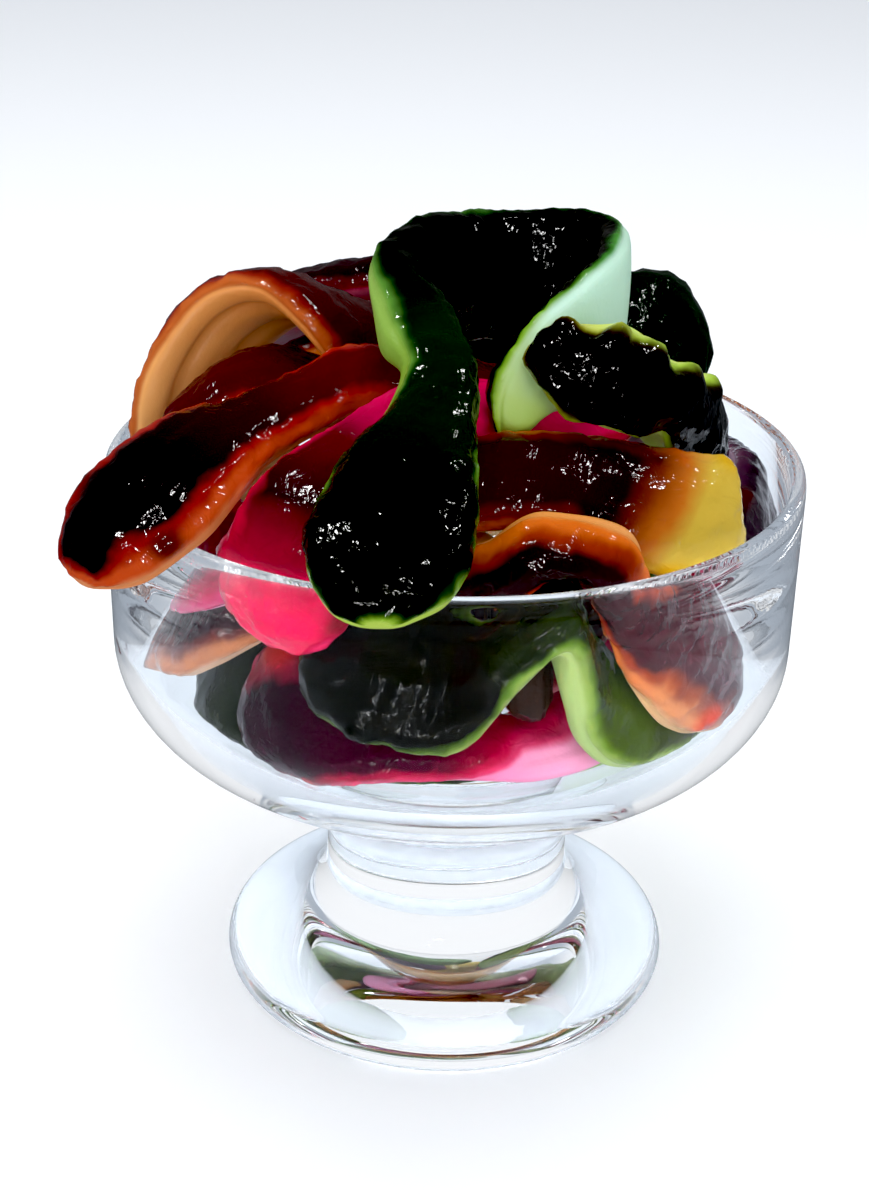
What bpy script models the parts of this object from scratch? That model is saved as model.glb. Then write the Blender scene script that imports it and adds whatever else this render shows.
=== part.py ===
"""A footed glass dessert bowl heaped with giant jelly snakes.

Lengths are in millimetres and are scaled to metres by MM as each mesh is made.
+Z is up, the origin is the middle of the foot's underside, and the heap's front faces -Y.
"""

import math

import bmesh
import bpy
import numpy as np
from mathutils.bvhtree import BVHTree

MM = 0.001

# The bowl is pressed clear glass, turned about Z.
RIM_RADIUS = 60.0
BOWL_HEIGHT = 102.0
INNER_RADIUS = 57.4
FLOOR_Z = 50.3
CORNER_START = 24.0
INNER_CORNER = (33.4, 22.7)
OUTER_CORNER = (36.0, 23.5)
OUTER_CORNER_Z = 70.0
STEM_RADIUS = 22.6
FOOT_RADIUS = 41.8
BOWL_STEPS = 56
OVERHANG_Z = 92.0

# A snake is one casting: a flat foam belly under a domed jelly back, with a spoon-shaped head.
NOSE_LENGTH = 13.0
HEAD_WIDTH = 24.6
HEAD_DEPTH = 9.4
HEAD_REACH = 44.0
HEAD_SHARE = 0.39
NECK_WIDTH = 12.0
NECK_DEPTH = 8.2
BODY_WIDENS = 32.0
BODY_WIDTH = 17.0
BODY_DEPTH = 8.8
TAIL_LENGTH = 38.0
TAIL_WIDTH = 8.0
TAIL_DEPTH = 6.0
TAIL_ROUNDING = 4.0
BELLY_SHARE = 0.40
SECTION_SIDES = 10
STATION_STEP = 9.5
HEAD_STATIONS = (0.3, 2.0, 5.5, 10.5, 17.0)
TAIL_STATIONS = (6.0, 2.0, 0.3)
SPLINE_STEPS = 12
SHAPE_KEYS = ("head", "reach", "tail", "neck", "width", "depth")

# Settling: neighbours press apart until this gap is left.
GAP = 0.6
PRESS_GAP = 0.9
SETTLE_ROUNDS = 90
PRESS_ROUNDS = 5
CLEAR_GAP = 0.4
CLEAR_ROUNDS = 3
DENT_REACH = 4.0
DENT_LIMIT = 1.0
PINCH = 0.04
PINCH_ROUNDS = 8
STEP_SHARE = 0.5
SMOOTHING = 0.25

# Each route runs from the head's tip to the tail's. A row is x, y, z, then the way the back faces.
# "hold" is how firmly a snake keeps its place while its neighbours settle round it, "reach" is
# how far behind its tip the head ends, and "tail" is how long its taper is. "neck", "width" and
# "depth" are the neck's width and the body's width and depth where the casting is squashed. A
# snake with no head shows only its body or its tail.
SNAKES = {
    "green_front": dict(hold=12, tail=26, width=22, depth=7.4, colour=(0.10, 0.20, 0.02), route=[
        (-11, -69, 102, 0.0, -0.6, 0.8), (-11, -65, 104.5, 0.0, -0.55, 0.83),
        (-10, -58, 109, 0.0, -0.5, 0.85), (-8, -50, 114, 0.0, -0.55, 0.83),
        (-5, -41, 119.5, 0.05, -0.65, 0.75), (-3, -34, 125, 0.1, -0.8, 0.6),
        (-4, -28, 129, 0.1, -0.92, 0.4), (-8, -21, 132, 0.4, -0.8, 0.4),
        (-8, -11, 133, 0.75, -0.55, 0.35), (-2, -1, 132, 0.5, -0.85, 0.2),
        (7, 7, 130.5, 0.15, -1.0, 0.15), (15, 9.5, 130.5, -0.2, -1.0, 0.1),
        (21.5, 6, 130.5, -0.75, -0.65, 0.1), (24, -3, 130, -1.0, 0.2, 0.05),
        (21, -12, 127.5, -0.6, 0.8, 0.1), (15.5, -18, 124.5, -0.35, 0.9, 0.1),
        (10, -22, 121.5, -0.2, 1.0, 0.0), (6, -24, 117.5, 0.0, 1.0, 0.0),
        (4, -25.5, 111.5, 0.0, 1.0, 0.0)]),
    "green_arch": dict(hold=5, tail=14, width=20, colour=(0.05, 0.12, 0.03), route=[
        (4, 47, 100, 0.0, 0.5, 0.85), (1, 42, 103, 0.0, 0.4, 0.9),
        (-2, 34, 107, 0.0, 0.3, 0.95), (-1, 26, 112, -0.1, -0.1, 1.0),
        (5, 19, 117, -0.2, -0.6, 0.8), (13, 16.5, 122, 0.0, -0.85, 0.5),
        (20, 18, 121, 0.0, -0.9, 0.4), (28, 20, 121.5, 0.1, -0.95, 0.3),
        (35, 20.5, 118, 0.15, -0.95, 0.2), (38.5, 20.5, 112, 0.15, -0.97, 0.1),
        (39, 20.5, 105, 0.15, -0.97, 0.0)]),
    "green_wavy": dict(hold=8, tail=12, width=19, colour=(0.10, 0.22, 0.02), route=[
        (9, 47, 106, 0.3, 0.6, 0.75), (14, 44, 107, 0.35, 0.5, 0.75),
        (23, 37, 108, 0.4, 0.4, 0.8), (32, 28, 106, 0.6, 0.2, 0.75),
        (38, 16, 99, 0.7, 0.1, 0.7), (41.5, 5, 100.5, 0.8, -0.1, 0.6),
        (42, -5, 104.5, 0.8, -0.4, 0.4), (39.5, -13.5, 109, 0.6, -0.65, 0.4),
        (35.5, -19.5, 113.5, 0.3, -0.85, 0.4), (30, -25, 116.5, 0.1, -0.9, 0.4),
        (24, -27.5, 118.5, 0.0, -0.9, 0.4), (18.5, -28.5, 121, 0.0, -0.9, 0.4),
        (14, -28, 124.5, 0.0, -0.9, 0.4), (10.5, -26, 128, 0.0, -0.9, 0.4)]),
    "yellow_head": dict(hold=12, reach=34, neck=17, width=16, colour=(0.75, 0.45, 0.03), route=[
        (42, -31, 91.5, 0.35, -0.8, 0.5), (39.5, -33, 92.5, 0.3, -0.82, 0.5),
        (34, -35, 96, 0.25, -0.84, 0.5), (28, -35.5, 100.5, 0.15, -0.8, 0.6),
        (22, -35.5, 104.5, 0.1, -0.7, 0.7), (15.5, -35.5, 108, 0.05, -0.65, 0.75),
        (9, -36, 109.5, 0.0, -0.65, 0.76), (2.5, -35.5, 109, 0.0, -0.65, 0.76),
        (-4, -32, 107, 0.0, -0.65, 0.76), (-11, -26, 103.5, -0.1, -0.5, 0.85),
        (-17, -18, 100, -0.1, -0.3, 0.93), (-20, -8, 98, 0.0, -0.1, 1.0),
        (-19, 3, 96, 0.0, 0.0, 1.0), (-13, 11, 95, 0.0, 0.0, 1.0)]),
    "orange_right": dict(hold=8, colour=(0.65, 0.20, 0.03), route=[
        (47, -26.5, 68.5, 0.6, -0.72, 0.3), (44, -30, 72, 0.55, -0.74, 0.35),
        (38, -36, 78, 0.5, -0.76, 0.35), (31.5, -41, 85, 0.4, -0.8, 0.4),
        (25, -46, 94, 0.3, -0.75, 0.55), (17.5, -48, 101.5, 0.15, -0.65, 0.75),
        (10.5, -47.5, 101.5, 0.0, -0.6, 0.8), (3.5, -44, 97, -0.1, -0.5, 0.85),
        (-3, -35.5, 95.5, -0.1, -0.4, 0.9), (-8, -26.5, 93, 0.0, -0.3, 0.95),
        (-10, -16, 90.5, 0.0, -0.1, 1.0), (-7, -4, 89, 0.0, 0.0, 1.0),
        (1, 6, 88, 0.0, 0.0, 1.0), (9, 14, 88, 0.0, 0.0, 1.0)]),
    "orange_left": dict(hold=10, colour=(0.70, 0.12, 0.02), route=[
        (-56, -47, 96.5, -0.45, -0.5, 0.75), (-53.5, -44.5, 100, -0.4, -0.5, 0.78),
        (-49, -41, 104.5, -0.35, -0.5, 0.8), (-44, -37, 108, -0.3, -0.5, 0.8),
        (-38.5, -32, 111.5, -0.3, -0.55, 0.8), (-32, -27, 113.5, -0.3, -0.6, 0.75),
        (-25, -22, 115.5, -0.25, -0.65, 0.7), (-16, -17, 118, -0.2, -0.65, 0.75),
        (-6, -12.5, 115.5, 0.0, -0.5, 0.85), (4, -5, 112, 0.2, -0.3, 0.9),
        (12, 5, 108, 0.3, -0.1, 0.9), (16, 15, 102, 0.3, 0.0, 0.9),
        (14, 27, 97, 0.0, 0.0, 1.0)]),
    "orange_loop": dict(hold=8, head=False, width=23, depth=8, colour=(0.72, 0.30, 0.06), route=[
        (2, 26, 91, 0.0, 0.1, 1.0), (0, 17, 96, 0.2, -0.1, 0.97),
        (-3, 8, 104, 0.4, -0.2, 0.9), (-7, 2, 113, 0.5, -0.3, 0.8),
        (-12, -3, 121, 0.6, -0.4, 0.65), (-18, -3.5, 126, 0.5, -0.1, 0.85),
        (-24, -1, 129, 0.2, 0.3, 0.93), (-30, 1, 129, -0.15, 0.55, 0.8),
        (-36, 1, 126, -0.4, 0.7, 0.6), (-41, 0, 120, -0.55, 0.75, 0.35),
        (-44, 0, 111, -0.6, 0.75, 0.25), (-47, 1, 102, -0.75, 0.65, 0.1),
        (-50, 7, 94, -0.95, 0.3, 0.1), (-48, 17, 87, -0.95, 0.3, 0.1),
        (-43, 27, 83, -0.8, 0.55, 0.1), (-32, 39, 82, -0.6, 0.75, 0.1),
        (-18, 47, 81, -0.3, 0.9, 0.1)]),
    "orange_inner": dict(hold=5, head=False, width=20, colour=(0.60, 0.14, 0.03), route=[
        (-14, 20, 101, 0.0, 0.1, 1.0), (-15, 11, 105, 0.0, -0.2, 0.97),
        (-18, 3, 110, 0.0, -0.4, 0.9), (-24, -5, 114.5, -0.1, -0.55, 0.8),
        (-32, -12, 116, -0.15, -0.6, 0.8), (-39, -15, 113.5, -0.25, -0.6, 0.75),
        (-44, -15, 109, -0.5, -0.5, 0.7), (-46, -14, 102, -0.8, -0.4, 0.4)]),
    "pink_front": dict(hold=8, colour=(0.70, 0.03, 0.08), route=[
        (-32, -43, 83.5, -0.45, -0.88, 0.1), (-31, -44, 88, -0.45, -0.87, 0.15),
        (-29, -45.5, 96, -0.4, -0.86, 0.25), (-27, -43.5, 103.5, -0.3, -0.8, 0.5),
        (-23, -38, 109.5, -0.25, -0.7, 0.65), (-18, -32, 112, -0.1, -0.65, 0.75),
        (-12, -26, 115, 0.0, -0.6, 0.8), (-4, -19.5, 115, 0.0, -0.5, 0.85),
        (5, -14, 111, 0.0, -0.4, 0.9), (13, -9, 109, 0.1, -0.3, 0.95),
        (20, -3, 108.5, 0.2, -0.1, 0.95), (26, 4, 110.5, 0.3, -0.1, 0.95),
        (29, 11, 114, 0.3, -0.1, 0.95)]),
    "pink_left": dict(hold=6, colour=(0.62, 0.04, 0.15), route=[
        (-51, -7, 84, -0.6, -0.3, 0.75), (-50, -12, 86, -0.6, -0.35, 0.75),
        (-46.5, -19.5, 89, -0.5, -0.45, 0.75), (-41.5, -25.5, 91.5, -0.45, -0.5, 0.75),
        (-35, -29, 93, -0.3, -0.5, 0.8), (-28, -30, 93, -0.15, -0.45, 0.85),
        (-21, -28, 90, 0.0, -0.3, 0.95), (-13, -23, 86, 0.0, -0.2, 0.97),
        (-4, -16, 82, 0.0, 0.0, 1.0), (5, -8, 80, 0.0, 0.0, 1.0),
        (10, 3, 79, 0.0, 0.0, 1.0)]),
    "amber_left": dict(hold=7, colour=(0.60, 0.30, 0.12), route=[
        (-53, 1, 66, -0.5, -0.3, 0.8), (-52, -4, 68, -0.5, -0.35, 0.8),
        (-48, -12.5, 72.5, -0.5, -0.4, 0.75), (-43.5, -20.5, 76, -0.45, -0.5, 0.75),
        (-37, -26.5, 80, -0.35, -0.55, 0.75), (-30, -28, 83.5, -0.2, -0.5, 0.85),
        (-22, -26, 81.5, 0.0, -0.4, 0.9), (-12, -21, 79, 0.0, -0.2, 0.95),
        (-2, -15, 76, 0.0, 0.0, 1.0), (8, -7, 72, 0.0, 0.0, 1.0),
        (13, 4, 70, 0.0, 0.0, 1.0)]),
    "pink_bottom": dict(hold=9, width=20, colour=(0.72, 0.10, 0.25), route=[
        (-35, -32, 57.5, -0.5, -0.75, 0.45), (-32, -36, 61, -0.45, -0.8, 0.4),
        (-26, -40, 65.5, -0.35, -0.85, 0.4), (-18, -43, 68, -0.2, -0.85, 0.5),
        (-9, -44.5, 67.5, -0.05, -0.75, 0.65), (-1, -43.5, 66, 0.0, -0.55, 0.83),
        (6.5, -42, 65, 0.0, -0.3, 0.95), (13, -40.5, 64.5, 0.0, -0.15, 1.0),
        (19, -38, 65, 0.0, -0.1, 1.0), (25, -33, 66.5, 0.0, -0.1, 1.0),
        (28, -25, 67.5, 0.0, 0.0, 1.0), (27, -16, 66.5, 0.0, 0.0, 1.0),
        (22, -7, 64, 0.0, 0.0, 1.0), (14, 2, 62, 0.0, 0.0, 1.0),
        (4, 7, 61, 0.0, 0.0, 1.0)]),
    "green_center": dict(hold=8, depth=7, colour=(0.14, 0.22, 0.06), route=[
        (-24, -44, 86, -0.3, -0.5, 0.8), (-20, -45.5, 86, -0.25, -0.5, 0.82),
        (-12, -47.5, 86, -0.15, -0.55, 0.82), (-5, -48.5, 84.5, -0.05, -0.6, 0.8),
        (2, -49.5, 83.5, -0.25, -0.6, 0.75), (8, -50, 87, -0.65, -0.1, 0.75),
        (12.5, -50, 91.5, -0.65, 0.15, 0.75), (16.5, -49.5, 93.5, 0.1, 0.2, 0.97),
        (20, -47.5, 89, 0.95, -0.05, 0.3), (22, -44.5, 82, 0.95, -0.2, 0.1),
        (27, -42, 76.5, 0.7, -0.6, 0.35), (33, -37.5, 71.5, 0.55, -0.65, 0.5),
        (39, -29, 69, 0.65, -0.45, 0.6), (44.5, -18, 69, 0.75, -0.3, 0.6),
        (49, -4, 72, 0.9, -0.1, 0.4), (50.5, 10, 75.5, 0.95, 0.2, 0.15),
        (45, 25, 77, 0.85, 0.5, 0.1), (35, 38, 77, 0.65, 0.75, 0.1),
        (22, 46, 76, 0.4, 0.9, 0.1), (8, 50, 75, 0.1, 1.0, 0.1),
        (-4, 50, 73, -0.1, 1.0, 0.1)]),
    "dark_middle": dict(hold=4, head=False, tail=24, colour=(0.12, 0.08, 0.05), route=[
        (16, 4, 81, 0.0, 0.0, 1.0), (17, -6, 82, 0.0, -0.1, 1.0),
        (16, -16, 85, 0.0, -0.2, 0.97), (14, -25, 87, 0.0, -0.4, 0.9),
        (11.5, -33, 87.5, 0.1, -0.7, 0.7), (11, -38, 83, 0.0, -0.9, 0.4),
        (12, -40, 76, 0.0, -0.9, 0.4), (12.5, -40, 71, 0.0, -0.9, 0.3)]),
    "wine_middle": dict(hold=3, head=False, tail=16, colour=(0.20, 0.04, 0.06), route=[
        (-38, 2, 63, -0.1, 0.0, 1.0), (-33, -8, 64, -0.1, 0.0, 1.0),
        (-24, -16, 65.5, 0.0, -0.1, 1.0), (-13, -20, 67.5, 0.0, -0.3, 0.95),
        (-3, -26, 69.5, 0.0, -0.5, 0.85), (6, -30.5, 72.5, 0.0, -0.7, 0.7),
        (14, -29, 76.5, 0.0, -0.75, 0.65), (21, -27, 80, 0.1, -0.75, 0.65),
        (27, -23, 83, 0.2, -0.75, 0.6)]),
    "green_floor": dict(hold=6, colour=(0.10, 0.12, 0.05), route=[
        (-6, 47, 62, -0.1, 0.9, 0.4), (-12, 46, 63, -0.3, 0.85, 0.4),
        (-25, 41, 64, -0.55, 0.75, 0.3), (-38, 31, 65, -0.75, 0.55, 0.3),
        (-47, 17, 65, -0.9, 0.3, 0.3), (-49, 2, 65, -0.95, 0.0, 0.3),
        (-47, -13, 64, -0.9, -0.25, 0.4), (-41, -25, 61, -0.7, -0.4, 0.6),
        (-31, -31, 57, -0.4, -0.4, 0.8), (-20, -34, 55, -0.1, -0.2, 0.97),
        (-9, -36, 55, 0.0, -0.1, 1.0), (2, -36, 55, 0.0, -0.1, 1.0)]),
    "lime_floor": dict(hold=6, head=False, colour=(0.35, 0.45, 0.15), route=[
        (25, -35, 54, -0.2, 0.3, 0.9), (31, -33, 55.5, -0.3, 0.4, 0.85),
        (37, -27, 57.5, -0.5, 0.3, 0.8), (42, -17, 59.5, -0.55, 0.2, 0.8),
        (44, -5, 60.5, -0.6, 0.0, 0.8), (44, 8, 61, -0.6, -0.1, 0.8),
        (40, 20, 61, -0.55, -0.3, 0.8), (32, 31, 61, -0.4, -0.4, 0.8),
        (21, 38, 60, -0.2, -0.5, 0.85), (9, 41, 59, 0.0, -0.5, 0.85)]),
    "plum_wall": dict(hold=5, colour=(0.20, 0.06, 0.12), route=[
        (46.5, -22, 88, 0.8, -0.45, 0.3), (48.5, -17, 88.5, 0.85, -0.4, 0.3),
        (51, -8, 91, 0.95, -0.15, 0.25), (52, 5, 94, 0.98, 0.1, 0.2),
        (48, 20, 95, 0.9, 0.35, 0.2), (40, 33, 95, 0.75, 0.6, 0.2),
        (28, 43, 94, 0.5, 0.8, 0.2), (14, 50, 91, 0.25, 0.95, 0.2),
        (0, 52, 89, 0.0, 1.0, 0.2)]),
    "amber_back": dict(hold=3, head=False, colour=(0.60, 0.30, 0.12), route=[
        (-18, 28, 72, -0.2, 0.6, 0.75), (-8, 34, 74, -0.1, 0.7, 0.7),
        (4, 37, 76, 0.0, 0.8, 0.6), (16, 35, 78, 0.3, 0.7, 0.6),
        (27, 27, 78, 0.6, 0.5, 0.6), (32, 15, 76, 0.8, 0.1, 0.6),
        (32, 2, 75, 0.8, 0.0, 0.6)]),
    "crimson_back": dict(hold=5, colour=(0.50, 0.03, 0.05), route=[
        (-8, 51, 93.5, -0.1, 0.95, 0.3), (-13, 49.5, 94.5, -0.25, 0.9, 0.3),
        (-24, 45, 96, -0.5, 0.8, 0.3), (-35, 37, 98, -0.7, 0.65, 0.35),
        (-43, 27, 99, -0.8, 0.5, 0.4), (-48, 15, 99, -0.9, 0.3, 0.3)]),
    "yellow_back": dict(hold=6, colour=(0.70, 0.40, 0.05), route=[
        (-6, 67, 102, 0.0, 0.6, 0.8), (-6, 63, 105, 0.0, 0.55, 0.83),
        (-7, 55, 110, 0.0, 0.5, 0.87), (-10, 46, 112, 0.0, 0.4, 0.9),
        (-15, 37, 112, -0.1, 0.3, 0.95), (-22, 29, 111, -0.2, 0.3, 0.95),
        (-30, 23, 110, -0.3, 0.3, 0.93), (-37, 15, 108, -0.5, 0.2, 0.85),
        (-39, 5, 106, -0.5, 0.1, 0.85)]),
    "pink_back": dict(hold=5, colour=(0.70, 0.08, 0.22), route=[
        (-37, 46, 101, -0.6, 0.6, 0.6), (-35, 43, 104, -0.5, 0.6, 0.65),
        (-30, 38, 109, -0.35, 0.5, 0.8), (-22, 34, 113.5, -0.1, 0.3, 0.95),
        (-12, 31, 117, 0.1, 0.3, 0.95), (-2, 30, 118.5, 0.1, 0.4, 0.9),
        (7, 33, 117, 0.2, 0.5, 0.85), (15, 36, 113, 0.3, 0.6, 0.75)]),
}


def spline(rows):
    """A smooth curve through the rows, with SPLINE_STEPS points between neighbours."""
    rows = np.array(rows, float)
    before = 2 * rows[0] - rows[1]
    after = 2 * rows[-1] - rows[-2]
    padded = np.vstack([before, rows, after])
    points = []
    for i in range(1, len(padded) - 2):
        p0, p1, p2, p3 = padded[i - 1 : i + 3]
        for t in np.arange(SPLINE_STEPS) / SPLINE_STEPS:
            bend = 2 * p0 - 5 * p1 + 4 * p2 - p3
            twist = 3 * (p1 - p2) + p3 - p0
            points.append(0.5 * (2 * p1 + (p2 - p0) * t + bend * t**2 + twist * t**3))
    points.append(padded[-2])
    return np.array(points)


def ease(value, start, end):
    """0 before start, 1 after end, and smooth between them."""
    t = np.clip((value - start) / (end - start), 0.0, 1.0)
    return t * t * (3 - 2 * t)


def width_and_depth(along, length, head, reach, tail, neck, body):
    """A snake's width and depth at a distance along it from the tip of its head."""
    to_neck = ease(along, HEAD_SHARE * reach, reach) if head else 1.0
    to_body = ease(along, reach + 4, reach + BODY_WIDENS) if head else 1.0
    to_tail = ease(along, length - tail, length)
    width = HEAD_WIDTH + (neck - HEAD_WIDTH) * to_neck
    width += (body[0] - neck) * to_body + (TAIL_WIDTH - body[0]) * to_tail
    depth = HEAD_DEPTH + (NECK_DEPTH - HEAD_DEPTH) * to_neck
    depth += (body[1] - NECK_DEPTH) * to_body + (TAIL_DEPTH - body[1]) * to_tail
    nose = np.clip(along / (NOSE_LENGTH if head else TAIL_ROUNDING), 0.0, 1.0)
    tail = np.clip((length - along) / TAIL_ROUNDING, 0.0, 1.0)
    width *= np.sqrt(1 - (1 - nose) ** 2) * np.sqrt(1 - (1 - tail) ** 2)
    depth *= np.sqrt(1 - (1 - nose) ** 3) * np.sqrt(1 - (1 - tail) ** 2)
    return width, depth


def unit(vectors):
    return vectors / np.linalg.norm(vectors, axis=-1, keepdims=True)


def snake_frame(route, head=True, reach=HEAD_REACH, tail=TAIL_LENGTH, neck=NECK_WIDTH,
                width=BODY_WIDTH, depth=BODY_DEPTH):
    """The snake's centres, side and back directions, and half sizes at each of its stations."""
    curve = spline(route)
    steps = np.linalg.norm(np.diff(curve[:, :3], axis=0), axis=1)
    travelled = np.concatenate([[0.0], np.cumsum(steps)])
    length = travelled[-1]
    first, last = HEAD_STATIONS[-1], length - TAIL_STATIONS[0]
    between = np.linspace(first, last, max(3, round((last - first) / STATION_STEP) + 1))
    ends = length - np.array(TAIL_STATIONS[1:])
    along = np.concatenate([HEAD_STATIONS[:-1], between, ends])
    rows = np.array([np.interp(along, travelled, column) for column in curve.T]).T
    centre = rows[:, :3]
    ahead = np.array([np.interp(along + 1.5, travelled, c) for c in curve.T[:3]]).T
    behind = np.array([np.interp(along - 1.5, travelled, c) for c in curve.T[:3]]).T
    forward = unit(ahead - behind)
    facing = unit(rows[:, 3:])
    back = unit(facing - forward * np.sum(facing * forward, axis=1, keepdims=True))
    side = np.cross(forward, back)
    width, depth = width_and_depth(along, length, head, reach, tail, neck, (width, depth))
    return dict(
        centre=centre, side=side, back=back, half=width / 2, up=depth * (1 - BELLY_SHARE),
        down=depth * BELLY_SHARE, moved=np.zeros_like(centre),
    )


def section():
    """One station's outline as (across, up) shares: a full dome above and a flatter belly below."""
    turn = 2 * np.pi * np.arange(SECTION_SIDES) / SECTION_SIDES
    across, up = np.cos(turn), np.sin(turn)
    flat = np.where(up < 0, 0.6, 0.85)
    return np.sign(across) * np.abs(across) ** 0.85, np.sign(up) * np.abs(up) ** flat


def rings(snake):
    """The snake's outline points at every station, as stations x sides x 3."""
    across, up = section()
    out = snake["side"][:, None] * (snake["half"][:, None] * across)[..., None]
    height = np.where(up > 0, snake["up"][:, None] * up, snake["down"][:, None] * up)
    return snake["centre"][:, None] + out + snake["back"][:, None] * height[..., None]


def pushed_out(points, snake, gap):
    """How far each point must move to clear the snake by the gap, as vectors."""
    start = snake["centre"][:-1]
    run = snake["centre"][1:] - start
    to_point = points[:, None] - start
    share = np.clip(np.sum(to_point * run, 2) / np.sum(run * run, 1), 0, 1)
    offset = to_point - share[..., None] * run
    nearest = np.argmin(np.sum(offset * offset, 2), axis=1)
    which = np.arange(len(points))
    offset, share = offset[which, nearest], share[which, nearest]

    def between(name):
        values = snake[name]
        mix = share if values.ndim == 1 else share[:, None]
        return values[nearest] * (1 - mix) + values[nearest + 1] * mix

    side, back = between("side"), between("back")
    across, above = np.sum(offset * side, 1), np.sum(offset * back, 1)
    past = offset - side * across[:, None] - back * above[:, None]
    half = between("half") + gap
    tall = np.where(above > 0, between("up"), between("down")) + gap
    fill = (np.abs(across) / half) ** 2.4 + (np.abs(above) / tall) ** 2.4
    fill += np.sum(past * past, 1) / 4.0
    inside = np.where((fill < 1) & (fill > 1e-9), fill, 1.0)
    lean = side * (np.sign(across) * np.abs(across) ** 1.4 / half**2.4)[:, None]
    lean += back * (np.sign(above) * np.abs(above) ** 1.4 / tall**2.4)[:, None]
    lean /= np.linalg.norm(lean, axis=1, keepdims=True) + 1e-9
    reach = np.linalg.norm(offset, axis=1)
    depth = np.where(inside < 1, reach * (inside ** (-1 / 2.4) - 1), 0.0)
    return lean * depth[:, None]


def pushed_from_glass(points, gap):
    """How far each point must move to clear the bowl's inside, its rim and its outside."""
    push = np.zeros_like(points)
    radius = np.hypot(points[:, 0], points[:, 1]) + 1e-9
    outward = np.column_stack([points[:, 0], points[:, 1], 0 * radius]) / radius[:, None]
    z = points[:, 2]
    middle = (RIM_RADIUS + INNER_RADIUS) / 2
    low = z < BOWL_HEIGHT + gap
    hangs = (z > OVERHANG_Z) | (radius > RIM_RADIUS + 6)
    near_top = low & (z > BOWL_HEIGHT - 4) & (np.abs(radius - middle) < 1.3 + gap)
    push[near_top, 2] = (BOWL_HEIGHT + gap - z)[near_top]
    corner_z = FLOOR_Z + INNER_CORNER[1]
    wall = low & ~near_top & ((radius < middle) | ~hangs) & (z > corner_z)
    push[wall] -= outward[wall] * np.maximum(radius - INNER_RADIUS + gap, 0)[wall, None]
    outside = low & ~near_top & (radius >= middle) & hangs
    push[outside] += outward[outside] * np.maximum(RIM_RADIUS + gap - radius, 0)[outside, None]
    across = np.maximum(radius - CORNER_START, 0) / (INNER_CORNER[0] - gap)
    below = np.maximum(corner_z - z, 0) / (INNER_CORNER[1] - gap)
    reach = np.hypot(across, below)
    corner = (z <= corner_z) & (reach > 1)
    excess = (1 - 1 / np.maximum(reach, 1))[corner, None]
    push[corner] -= outward[corner] * excess * np.maximum(radius - CORNER_START, 0)[corner, None]
    push[corner, 2] += excess[:, 0] * (corner_z - z)[corner]
    return push


def station_push(pushes):
    """One shift for each station from the pushes on its outline: their direction, at the largest size."""
    total = pushes.sum(axis=1)
    size = np.linalg.norm(total, axis=1, keepdims=True)
    direction = total / np.maximum(size, 1e-9)
    return direction * np.max(np.sum(pushes * direction[:, None], axis=2), axis=1)[:, None]


def boxes_meet(a, b, margin):
    low = np.maximum(a.reshape(-1, 3).min(0), b.reshape(-1, 3).min(0))
    high = np.minimum(a.reshape(-1, 3).max(0), b.reshape(-1, 3).max(0))
    return bool((low - margin < high).all())


def settle(snakes, hold):
    """Shifts the snakes' stations until neighbours and glass are clear of each other."""
    names = list(snakes)
    for _ in range(SETTLE_ROUNDS):
        outline = {name: rings(snakes[name]) for name in names}
        shift = {name: np.zeros_like(snakes[name]["centre"]) for name in names}
        for name in names:
            own = outline[name]
            flat = own.reshape(-1, 3)
            for other in names:
                if other == name or not boxes_meet(own, outline[other], GAP):
                    continue
                push = station_push(pushed_out(flat, snakes[other], GAP).reshape(own.shape))
                share = hold[other] / (hold[name] + hold[other])
                shift[name] += push * share * STEP_SHARE
        for name in names:
            snake = snakes[name]
            moved = snake["moved"] + shift[name]
            beside = np.vstack([moved[1:2], (moved[:-2] + moved[2:]) / 2, moved[-2:-1]])
            moved = moved * (1 - SMOOTHING) + beside * SMOOTHING
            snake["centre"] = snake["centre"] + moved - snake["moved"]
            outline[name] = rings(snake)
            glass = pushed_from_glass(outline[name].reshape(-1, 3), GAP)
            glass = station_push(glass.reshape(outline[name].shape))
            snake["centre"] = snake["centre"] + glass
            snake["moved"] = moved + glass


def faces_of(stations):
    """The quads of a lofted snake and the caps at its two ends, as lists of vertex numbers."""
    n = SECTION_SIDES
    faces = [tuple(range(n)), tuple(range((stations - 1) * n, stations * n))[::-1]]
    for row in range(stations - 1):
        for i in range(n):
            j = (i + 1) % n
            a, b = row * n, (row + 1) * n
            faces.append((a + i, b + i, b + j, a + j))
    return faces


def tree_of(points):
    return BVHTree.FromPolygons(points.reshape(-1, 3).tolist(), faces_of(len(points)))


def dent(points, firm):
    """Pushes a snake's points and faces clear of a firmer snake's faces and points."""
    soft_faces = faces_of(len(points))
    flat, hard = points.reshape(-1, 3), firm.reshape(-1, 3)
    firm_tree = tree_of(firm)
    for point in flat:
        near, normal, _, _ = firm_tree.find_nearest(point, DENT_REACH)
        if near is not None:
            out = np.array(normal)
            point += out * np.clip(CLEAR_GAP - (point - np.array(near)) @ out, 0, DENT_LIMIT)
    soft_tree = tree_of(points)
    for point in hard:
        near, normal, face, _ = soft_tree.find_nearest(point, DENT_REACH)
        if near is not None:
            out = np.array(normal)
            need = np.clip(CLEAR_GAP - (point - np.array(near)) @ out, 0, DENT_LIMIT)
            flat[list(soft_faces[face])] -= out * need


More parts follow.
